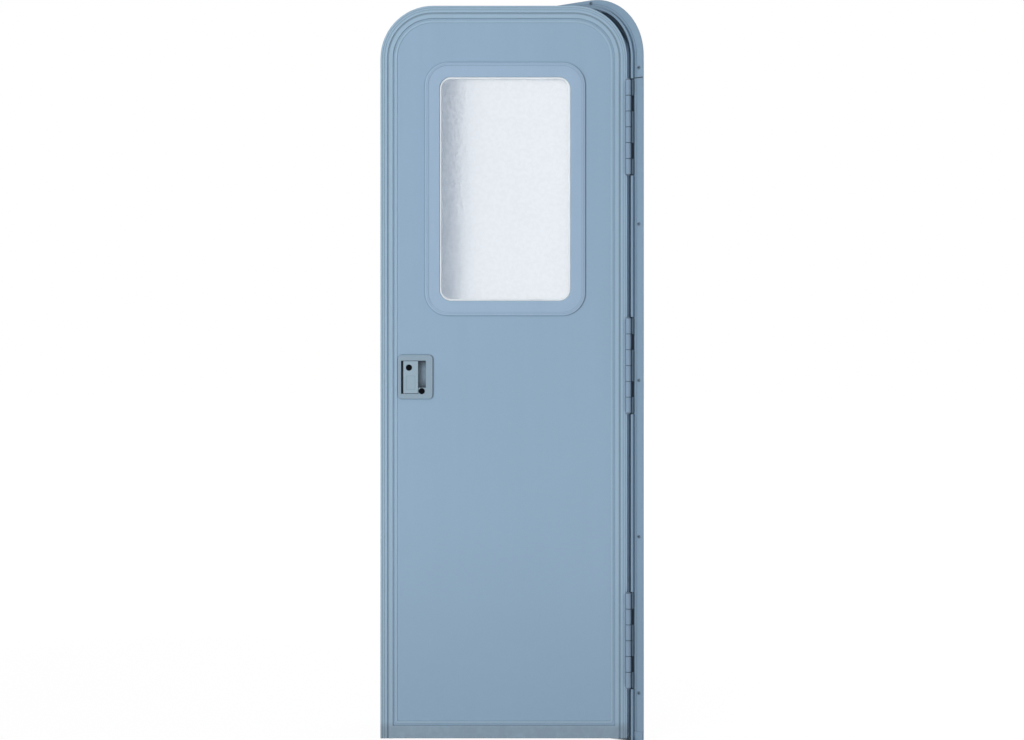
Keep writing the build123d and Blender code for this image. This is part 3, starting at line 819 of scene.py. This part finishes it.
@dataclass(frozen=True)
class ScrewHead:
    """A domed screw head with a cross recess, its axis along Z and its seat at Z 0."""

    radius: float = 4.2 * MILLIMETRE
    height: float = 2.2 * MILLIMETRE
    rim: float = 0.8 * MILLIMETRE
    recess_length: float = 2.4 * MILLIMETRE
    recess_width: float = 0.7 * MILLIMETRE
    recess_depth: float = 1.5 * MILLIMETRE
    recess_slope: float = 0.2 * MILLIMETRE
    crown_power: float = 2.6
    cross_turn: float = 2.4
    rings: int = 20
    sides: int = 48

    def dome(self, x: np.ndarray, y: np.ndarray) -> np.ndarray:
        """Return the head's height over a place.

        Args:
            x: places across.
            y: places along.

        Returns:
            The heights.
        """
        share = np.minimum(np.hypot(x, y) / self.radius, 1.0)
        crown = self.rim + (self.height - self.rim) * np.sqrt(1.0 - share**self.crown_power)
        arms = [
            np.clip((self.recess_width - np.abs(side)) / self.recess_slope, 0.0, 1.0)
            * np.clip((self.recess_length - np.abs(run)) / self.recess_slope, 0.0, 1.0)
            for side, run in ((x, y), (y, x))
        ]
        return crown - self.recess_depth * np.maximum(*arms)

    def mesh(self) -> tuple[np.ndarray, list]:
        """Return the head's vertices and faces.

        Returns:
            The vertices, and the faces as lists of their numbers.
        """
        radii = self.radius * np.arange(1, self.rings + 1) / self.rings
        angles = 2 * np.pi * np.arange(self.sides) / self.sides
        x = np.outer(radii, np.cos(angles)).ravel()
        y = np.outer(radii, np.sin(angles)).ravel()
        zero = np.zeros(1)
        top = np.column_stack([x, y, self.dome(x, y)])
        foot = top[-self.sides:] * (1.0, 1.0, 0.0)
        centre = np.column_stack([zero, zero, self.dome(zero, zero)])
        points = np.vstack([top, foot, centre])
        faces = []
        for ring in range(self.rings):
            for side in range(self.sides):
                after = (side + 1) % self.sides
                low, high = ring * self.sides, (ring + 1) * self.sides
                faces.append((low + side, high + side, high + after, low + after))
        hub = len(points) - 1
        faces += [(hub, side, (side + 1) % self.sides) for side in range(self.sides)]
        last = self.rings * self.sides
        faces.append(tuple(last + side for side in reversed(range(self.sides))))
        return points, faces

    def scatter(self, name: str, seats: list[Seat], turn: Matrix) -> bpy.types.Object:
        """Make one object of many heads, each with its cross turned its own way.

        Args:
            name: the piece's name.
            seats: the place and the outward direction of each head.
            turn: what takes those to the part's axes.

        Returns:
            The joined heads.
        """
        points, faces = self.mesh()
        all_points, all_faces = [], []
        for index, (place, outward) in enumerate(seats):
            facing = UP.rotation_difference(outward).to_matrix().to_4x4()
            cross = Matrix.Rotation(self.cross_turn * index, 4, "Z")
            all_points.append(moved(points, turn @ Matrix.Translation(place) @ facing @ cross))
            all_faces += [tuple(v + index * len(points) for v in face) for face in faces]
        return mesh_object(name, np.vstack(all_points), all_faces)


PAN_HEAD = ScrewHead()
FLAT_HEAD = ScrewHead(
    height=0.8 * MILLIMETRE,
    rim=0.2 * MILLIMETRE,
    recess_depth=0.6 * MILLIMETRE,
)
SMALL_HEAD = ScrewHead(
    radius=3.4 * MILLIMETRE,
    height=1.6 * MILLIMETRE,
    rim=0.5 * MILLIMETRE,
    recess_length=1.9 * MILLIMETRE,
    recess_width=0.55 * MILLIMETRE,
    recess_depth=1.0 * MILLIMETRE,
)
HINGE_SCREWS = 4
HINGE_SCREW_ROWS = (19.0 * MILLIMETRE, 9.0 * MILLIMETRE)


def flange_seats() -> list[Seat]:
    """Return the screw seats on the flange, from the record's screw patterns.

    Returns:
        The places and outward directions.
    """
    nodes = ("frame_head", "frame_hinge_jamb", "frame_latch_jamb")
    points = np.vstack([node_points(node) for node in nodes])
    seats = []
    for mount in frame["record"]["mounts"]:
        if mount["kind"] != "bolt_pattern":
            continue
        dims = mount["dims"]
        half_x = dims["spacing_x_mm"] / 2 * MILLIMETRE
        half_z = dims.get("spacing_y_mm", 0.0) / 2 * MILLIMETRE
        for x in (-half_x, half_x):
            for z in sorted({mount["pos_m"][2] - half_z, mount["pos_m"][2] + half_z}):
                away = np.hypot(points[:, 0] - x, points[:, 2] - z)
                rim = points[away < PAN_HEAD.radius]
                seats.append((Vector((x, rim[:, 1].min(), z)), OUTWARD))
    return seats


@dataclass(frozen=True)
class FrameScrews:
    """The screws of the frame's flange, strike plate and hinge leaves."""

    dresser: Dresser
    strike_margin: float = 8.0 * MILLIMETRE

    def strike_seats(self) -> list[Seat]:
        """Return the seats at the strike plate's two ends.

        Returns:
            The places and outward directions.
        """
        low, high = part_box("strike_plate")
        heights = (low.z + self.strike_margin, high.z - self.strike_margin)
        return [(Vector((high.x, (low.y + high.y) / 2, z)), Vector((1.0, 0.0, 0.0))) for z in heights]

    def build(self) -> None:
        """Make and dress the heads."""
        hinge = [seat for node in hinge_nodes("frame") for seat in hinge_seats(node_points(node), -1)]
        groups = (
            ("flange_screws", PAN_HEAD, flange_seats(), Slot.FRAME_PAINT, SCREW_PAINT),
            ("strike_screws", FLAT_HEAD, self.strike_seats(), Slot.LATCH, None),
            ("hinge_screws_frame", FLAT_HEAD, hinge, Slot.HINGE_PAINT, None),
        )
        for name, head, seats, slot, finish in groups:
            heads = head.scatter(name, seats, Matrix.Identity(4))
            self.dresser.add(heads, slot, Body.FRAME, finish)


@dataclass(frozen=True)
class FramePackingAndShadow:
    """The dark packing in the flange's joints, and dark pads in the notches behind the leaf's knuckles that paint
    the shadow there.
    """

    dresser: Dresser
    seam_height: float = 2.2 * MILLIMETRE
    proud: float = 0.5 * MILLIMETRE
    margin: float = 0.8 * MILLIMETRE
    notch_width: float = 5.9 * MILLIMETRE
    knuckles: int = 6
    leaf_knuckles: tuple[int, ...] = (1, 4)

    def seams(self, level: float, bead_side: float) -> list[Span]:
        """Return the bars across the flange's two joints.

        Args:
            level: where the flange's face lies on Y.
            bead_side: where the bead ends and the flange starts on X.

        Returns:
            The lowest and highest corner of each.
        """
        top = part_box("frame_hinge_jamb")[1]
        inner, outer = bead_side + self.margin, top.x - self.margin
        front, back = level - self.proud, level + self.proud
        foot, crest = top.z - self.seam_height / 2, top.z + self.seam_height / 2
        return [
            (Vector((min(ends), front, foot)), Vector((max(ends), back, crest)))
            for ends in ((inner, outer), (-inner, -outer))
        ]

    def notches(self, level: float) -> list[Span]:
        """Return the dark pads in the notches, which are painted shadow.

        Args:
            level: where the flange's face lies on Y.

        Returns:
            The lowest and highest corner of each.
        """
        pads = []
        for node in hinge_nodes("frame"):
            low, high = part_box(node)
            pitch = (high.z - low.z) / self.knuckles
            for index in self.leaf_knuckles:
                foot = low.z + index * pitch
                near = Vector((high.x - self.notch_width, level - self.proud, foot))
                pads.append((near, Vector((high.x, level, foot + pitch))))
        return pads

    def build(self) -> None:
        """Make and dress the bars and pads."""
        level = flange_seats()[0][0].y
        bead_side = max(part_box(node)[1].x for node in hinge_nodes("frame"))
        # the notch pads are painted shadow, dark where the notches behind the leaf's knuckles lie in shade
        groups = {"seam_sealant": self.seams(level, bead_side), "notch_packing": self.notches(level)}
        for name, spans in groups.items():
            self.dresser.add(bar_object(name, spans), Slot.RUBBER, Body.FRAME, DARK_PACKING_AND_SHADOW)


def hinge_nodes(side: str) -> list[str]:
    """Return the names of the hinge leaves on one side, frame or door."""
    nodes = [row["node"] for row in frame["record"]["subparts"]]
    return [node for node in nodes if node.endswith(f"_hinge_{side}_leaf")]


def hinge_seats(points: np.ndarray, sign: int) -> list[Seat]:
    """Return the screw seats on a hinge leaf's plate, in two staggered rows.

    Args:
        points: the leaf's vertices, with its plate square to X.
        sign: 1 where the plate's free face looks to +X, -1 where it looks to -X.

    Returns:
        The places and outward directions.
    """
    inner_end = points[:, 1].max()
    plate = points[points[:, 1] > inner_end - MILLIMETRE]
    face = plate[:, 0].max() if sign > 0 else plate[:, 0].min()
    low, high = plate[:, 2].min(), plate[:, 2].max()
    seats = []
    for count in range(HINGE_SCREWS):
        back = HINGE_SCREW_ROWS[count % 2]
        place = Vector((face, inner_end - back, low + (high - low) * (count + 0.5) / HINGE_SCREWS))
        seats.append((place, Vector((float(sign), 0.0, 0.0))))
    return seats


@dataclass(frozen=True)
class LeafScrews:
    """The screws of the leaf's hinges, edge plate, inner window trim and inside lock plate."""

    leaf: LeafSpace
    dresser: Dresser
    edge_margin: float = 8.0 * MILLIMETRE
    trim_margin: float = 18.0 * MILLIMETRE
    trim_rows: tuple[float, ...] = (-0.66, 0.0, 0.66)
    trim_columns: tuple[float, ...] = (-0.45, 0.45)
    lock_margin: float = 9.0 * MILLIMETRE

    def edge_seats(self) -> list[Seat]:
        """Return the seats at the edge plate's two ends.

        Returns:
            The places and outward directions.
        """
        low, high = self.leaf.box("latch_edge_plate")
        heights = (low.z + self.edge_margin, high.z - self.edge_margin)
        return [(Vector((low.x, (low.y + high.y) / 2, z)), Vector((-1.0, 0.0, 0.0))) for z in heights]

    def trim_seats(self) -> list[Seat]:
        """Return the seats round the window's inner trim, three on each side and two at each end.

        Returns:
            The places and outward directions.
        """
        low, high = self.leaf.box("window_inner_trim")
        middle, half = (low + high) / 2, (high - low) / 2
        across, up = half.x - self.trim_margin, half.z - self.trim_margin
        ends = (-1.0, 1.0)
        shares = [*itertools.product(ends, self.trim_rows), *itertools.product(self.trim_columns, ends)]
        return [(Vector((middle.x + x * across, high.y, middle.z + z * up)), INWARD) for x, z in shares]

    def lock_seats(self) -> list[Seat]:
        """Return the seats in the four corners of the inside lock plate.

        Returns:
            The places and outward directions.
        """
        low, high = self.leaf.box("inside_lock_plate")
        return [
            (Vector((x, high.y, z)), INWARD)
            for x in (low.x + self.lock_margin, high.x - self.lock_margin)
            for z in (low.z + self.lock_margin, high.z - self.lock_margin)
        ]

    def build(self) -> None:
        """Make and dress the heads."""
        turn = self.leaf.matrix()
        hinge = [seat for node in hinge_nodes("door") for seat in hinge_seats(self.leaf.points(node), 1)]
        groups = (
            ("hinge_screws_door", FLAT_HEAD, hinge, Slot.HINGE_PAINT),
            ("edge_plate_screws", FLAT_HEAD, self.edge_seats(), Slot.LATCH),
            ("window_trim_screws", SMALL_HEAD, self.trim_seats(), Slot.TRIM),
            ("inside_lock_screws", SMALL_HEAD, self.lock_seats(), Slot.INSIDE),
        )
        for name, head, seats, slot in groups:
            self.dresser.add(head.scatter(name, seats, turn), slot, Body.DOOR)


def rounded_loop(half: Pair, radius: float, steps: int) -> tuple[np.ndarray, np.ndarray]:
    """Return the places round a rounded rectangle and their outward directions.

    Args:
        half: half of its width and height.
        radius: its corner radius.
        steps: places in each corner.

    Returns:
        The places and the directions.
    """
    places, outward = [], []
    for corner, (side, end) in enumerate(((1, 1), (-1, 1), (-1, -1), (1, -1))):
        for step in range(steps):
            angle = (corner + step / (steps - 1)) * math.pi / 2
            direction = (math.cos(angle), math.sin(angle))
            centre = (side * (half[0] - radius), end * (half[1] - radius))
            places.append((centre[0] + radius * direction[0], centre[1] + radius * direction[1]))
            outward.append(direction)
    return np.array(places), np.array(outward)


@dataclass(frozen=True)
class GlazingStrip:
    """The thin pale strip between the pane and the outer trim."""

    leaf: LeafSpace
    dresser: Dresser
    lap: float = 9.0 * MILLIMETRE
    corner: float = 28.5 * MILLIMETRE
    width: float = 5.0 * MILLIMETRE
    proud: float = 2.4 * MILLIMETRE
    section: tuple[Pair, ...] = ((0.0, 0.0), (0.0, 0.7), (0.3, 1.0), (0.7, 0.9), (1.0, 0.35), (1.0, 0.0))
    steps: int = 14

    def build(self) -> None:
        """Make and dress the strip."""
        low, high = self.leaf.box("window_glass")
        middle = (low + high) / 2
        half = ((high.x - low.x) / 2 - self.lap, (high.z - low.z) / 2 - self.lap)
        places, outward = rounded_loop(half, self.corner, self.steps)
        rows = []
        for inward, lift in self.section:
            at = places - outward * inward * self.width
            level = np.full(len(at), low.y - lift * self.proud)
            rows.append(np.column_stack([middle.x + at[:, 0], level, middle.z + at[:, 1]]))
        count, turns = len(places), len(self.section)
        faces = []
        for row in range(turns):
            here, there = row * count, (row + 1) % turns * count
            for step in range(count):
                after = (step + 1) % count
                faces.append((here + step, here + after, there + after, there + step))
        strip = mesh_object("glazing_strip", moved(np.vstack(rows), self.leaf.matrix()), faces)
        self.dresser.add(strip, Slot.TRIM, Body.DOOR, PALE_STRIP)


@dataclass(frozen=True)
class PebbledPane:
    """The window's obscure pane: flat outside, pebbled inside."""

    leaf: LeafSpace
    dresser: Dresser
    corner: float = 37.5 * MILLIMETRE
    step: float = 1.7 * MILLIMETRE
    pebble: float = 6.5 * MILLIMETRE
    relief: float = 0.7 * MILLIMETRE
    waves: tuple[Triple, Triple] = ((127.1, 311.7, 43758.5453), (269.5, 183.3, 24634.6345))

    def rounded(self, x: np.ndarray, z: np.ndarray, half: Pair) -> tuple[np.ndarray, np.ndarray]:
        """Draw a rectangle's grid in to round corners.

        Args:
            x: places across, from the middle.
            z: places up, from the middle.
            half: half of the pane's width and height.

        Returns:
            The places across and up.
        """
        in_x = np.clip((np.abs(x) - half[0] + self.corner) / self.corner, 0.0, 1.0)
        in_z = np.clip((np.abs(z) - half[1] + self.corner) / self.corner, 0.0, 1.0)
        new_x = x - np.sign(x) * self.corner * in_x * (1.0 - np.sqrt(1.0 - in_z**2 / 2))
        new_z = z - np.sign(z) * self.corner * in_z * (1.0 - np.sqrt(1.0 - in_x**2 / 2))
        return new_x, new_z

    def centre(self, cell: np.ndarray, wave: np.ndarray) -> np.ndarray:
        """Return where a cell's pebble lies on one axis, moved off its corner by a wave's fraction."""
        return (cell + wave - np.floor(wave)) * self.pebble

    def pebbles(self, x: np.ndarray, z: np.ndarray) -> np.ndarray:
        """Return the pebbles' height over a place, 0 to 1.

        Args:
            x: places across.
            z: places up.

        Returns:
            The heights.
        """
        columns = np.floor(x / self.pebble).astype(int)
        rows = np.floor(z / self.pebble).astype(int)
        nearest = np.full(x.shape, np.inf)
        for across, up in itertools.product((-1, 0, 1), repeat=2):
            column, row = columns + across, rows + up
            wave_x, wave_z = (np.sin(column * a + row * b) * c for a, b, c in self.waves)
            gap = np.hypot(x - self.centre(column, wave_x), z - self.centre(row, wave_z))
            nearest = np.minimum(nearest, gap / self.pebble)
        return 1.0 - np.clip(nearest, 0.0, 1.0) ** 2

    def rim(self, wide: int, tall: int) -> list[int]:
        """Return the numbers of a grid's rim vertices, once round.

        Args:
            wide: vertices across.
            tall: vertices up.

        Returns:
            The numbers.
        """
        last = (tall - 1) * wide
        return [
            *range(wide),
            *(row * wide + wide - 1 for row in range(1, tall)),
            *(last + column for column in range(wide - 2, -1, -1)),
            *(row * wide for row in range(tall - 2, 0, -1)),
        ]

    def build(self) -> None:
        """Make, dress and seat the pane."""
        low, high = self.leaf.box("window_glass")
        middle = (low + high) / 2
        half = ((high.x - low.x) / 2, (high.z - low.z) / 2)
        across = np.linspace(-half[0], half[0], round(2 * half[0] / self.step))
        up = np.linspace(-half[1], half[1], round(2 * half[1] / self.step))
        grid_x, grid_z = (g.ravel() for g in np.meshgrid(across, up))
        x, z = self.rounded(grid_x, grid_z, half)
        back = high.y - self.relief * (1.0 - self.pebbles(x, z))
        inside = np.column_stack([middle.x + x, back, middle.z + z])
        wide, tall = len(across), len(up)
        starts = [row * wide + column for row in range(tall - 1) for column in range(wide - 1)]
        faces = [(at, at + wide, at + wide + 1, at + 1) for at in starts]
        rim = self.rim(wide, tall)
        outside = inside[rim].copy()
        outside[:, 1] = low.y
        count = len(inside)
        for index in range(len(rim)):
            after = (index + 1) % len(rim)
            faces.append((rim[index], rim[after], count + after, count + index))
        faces.append(tuple(count + index for index in range(len(rim))))
        points = moved(np.vstack([inside, outside]), self.leaf.matrix())
        pane = mesh_object("obscure_pane", points, faces)
        pane.data.polygons[len(faces) - 1].use_smooth = False
        self.dresser.add(pane, Slot.GLASS, Body.DOOR)
        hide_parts("window_glass")


@dataclass(frozen=True)
class Lamp:
    """A soft square lamp that faces the leaf; one without glints leaves no mark in gloss or glass."""

    name: str
    turn: float
    height: float
    away: float
    size: float
    watts: float
    glints: bool

    def hang(self, aim: Vector, facing: Vector) -> None:
        """Hang the lamp.

        Args:
            aim: the point it faces.
            facing: the direction out of the leaf, which turn is measured from.
        """
        data = bpy.data.lights.new(self.name, "AREA")
        data.size = self.size
        data.energy = self.watts
        toward = Matrix.Rotation(math.radians(self.turn), 3, "Z") @ facing
        lamp = bpy.data.objects.new(self.name, data)
        lamp.visible_transmission = False
        lamp.visible_glossy = self.glints
        lamp.location = Vector((aim.x + toward.x * self.away, aim.y + toward.y * self.away, self.height))
        lamp.rotation_euler = (aim - lamp.location).to_track_quat("-Z", "Y").to_euler()
        bpy.context.scene.collection.objects.link(lamp)


@dataclass(frozen=True)
class Studio:
    """The floor, the light and the camera, square to the leaf's outer face."""

    leaf: LeafSpace
    lens: float = 57.2
    sensor: float = 36.0
    distance: float = 4.027
    eye_height: float = 0.919
    aside: float = 0.020
    floor_span: float = 80.0
    floor_colour: Colour = (0.8, 0.8, 0.8)
    floor_roughness: float = 0.9
    floor_glow: float = 0.86
    glow_strength: float = 1.08
    shadow_reach: Pair = (1.5, 5.0)
    surround: float = 0.32
    lamps: tuple[Lamp, ...] = (
        Lamp("key_lamp", turn=-33.0, height=1.25, away=7.5, size=3.9, watts=407.0, glints=False),
        Lamp("inside_lamp", turn=150.0, height=2.2, away=5.0, size=2.6, watts=110.0, glints=True),
    )

    def facing(self) -> Vector:
        """Return the direction out of the leaf's outer face."""
        return self.leaf.matrix().to_3x3() @ OUTWARD

    def target(self) -> Vector:
        """Return the point of the leaf's face that the camera looks at.

        Returns:
            The point.
        """
        low, high = self.leaf.box("door_edge_frame")
        point = Vector(((low.x + high.x) / 2 + self.aside, low.y, 0.0))
        return (self.leaf.matrix() @ point) + self.eye_height * UP

    def place_camera(self) -> None:
        """Set the camera at the photograph's view."""
        data = bpy.data.cameras.new("photo_camera")
        data.lens = self.lens
        data.sensor_width = self.sensor
        data.clip_end = 2 * self.floor_span
        camera = bpy.data.objects.new("photo_camera", data)
        camera.location = self.target() + self.facing() * self.distance
        camera.rotation_euler = (-self.facing()).to_track_quat("-Z", "Y").to_euler()
        bpy.context.scene.collection.objects.link(camera)
        bpy.context.scene.camera = camera

    def lay_floor(self) -> None:
        """Lay the pale floor, which is white to the camera but keeps the shadow near the part."""
        half = self.floor_span / 2
        corners = [(x * half, y * half, 0.0) for x, y in ((-1, -1), (1, -1), (1, 1), (-1, 1))]
        floor = mesh_object("studio_floor", np.array(corners), [(0, 1, 2, 3)], smooth=False)
        graph = FinishGraph("studio_floor")
        graph.set(Base_Color=self.floor_colour, Roughness=self.floor_roughness)
        length = graph.node("ShaderNodeVectorMath", {"operation": "LENGTH"}, {0: graph.place()})
        far = Signal(graph, length.outputs["Value"]).band(*self.shadow_reach)
        share = graph.seen() * (self.floor_glow + (1.0 - self.floor_glow) * far)
        glow = graph.node("ShaderNodeEmission", {}, {"Color": WHITE, "Strength": self.glow_strength})
        matt, lit = (Signal(graph, node.outputs[0]) for node in (graph.shader, glow))
        mixed = graph.node("ShaderNodeMixShader", {}, {0: share, 1: matt, 2: lit})
        surface = graph.tree.nodes["Material Output"].inputs["Surface"]
        graph.feed(surface, Signal(graph, mixed.outputs[0]))
        floor.data.materials.append(graph.material)

    def light(self) -> None:
        """Set the lamps and the pale surroundings, which are white where they are seen."""
        for lamp in self.lamps:
            lamp.hang(self.target(), self.facing())
        world = bpy.data.worlds.new("studio_world")
        world.use_nodes = True
        graph = NodeGraph(world.node_tree)
        inputs = graph.tree.nodes["Background"].inputs
        graph.feed(inputs["Color"], WHITE)
        graph.feed(inputs["Strength"], self.surround + (1.0 - self.surround) * graph.seen())
        bpy.context.scene.world = world

    def build(self) -> None:
        """Set the whole stage."""
        self.place_camera()
        self.lay_floor()
        self.light()
        bpy.context.scene.view_settings.view_transform = "Standard"
        LOG.info("set the stage")


def main() -> None:
    """Dress the solids, add the small pieces and set the stage."""
    logging.basicConfig(level=logging.INFO, format="%(name)s: %(message)s")
    leaf = LeafSpace.from_joint("door_swing")
    dresser = Dresser(leaf)
    dresser.dress_solids()
    FrameScrews(dresser).build()
    FramePackingAndShadow(dresser).build()
    LeafScrews(leaf, dresser).build()
    GlazingStrip(leaf, dresser).build()
    PebbledPane(leaf, dresser).build()
    Studio(leaf).build()


if __name__ == "__main__":
    main()
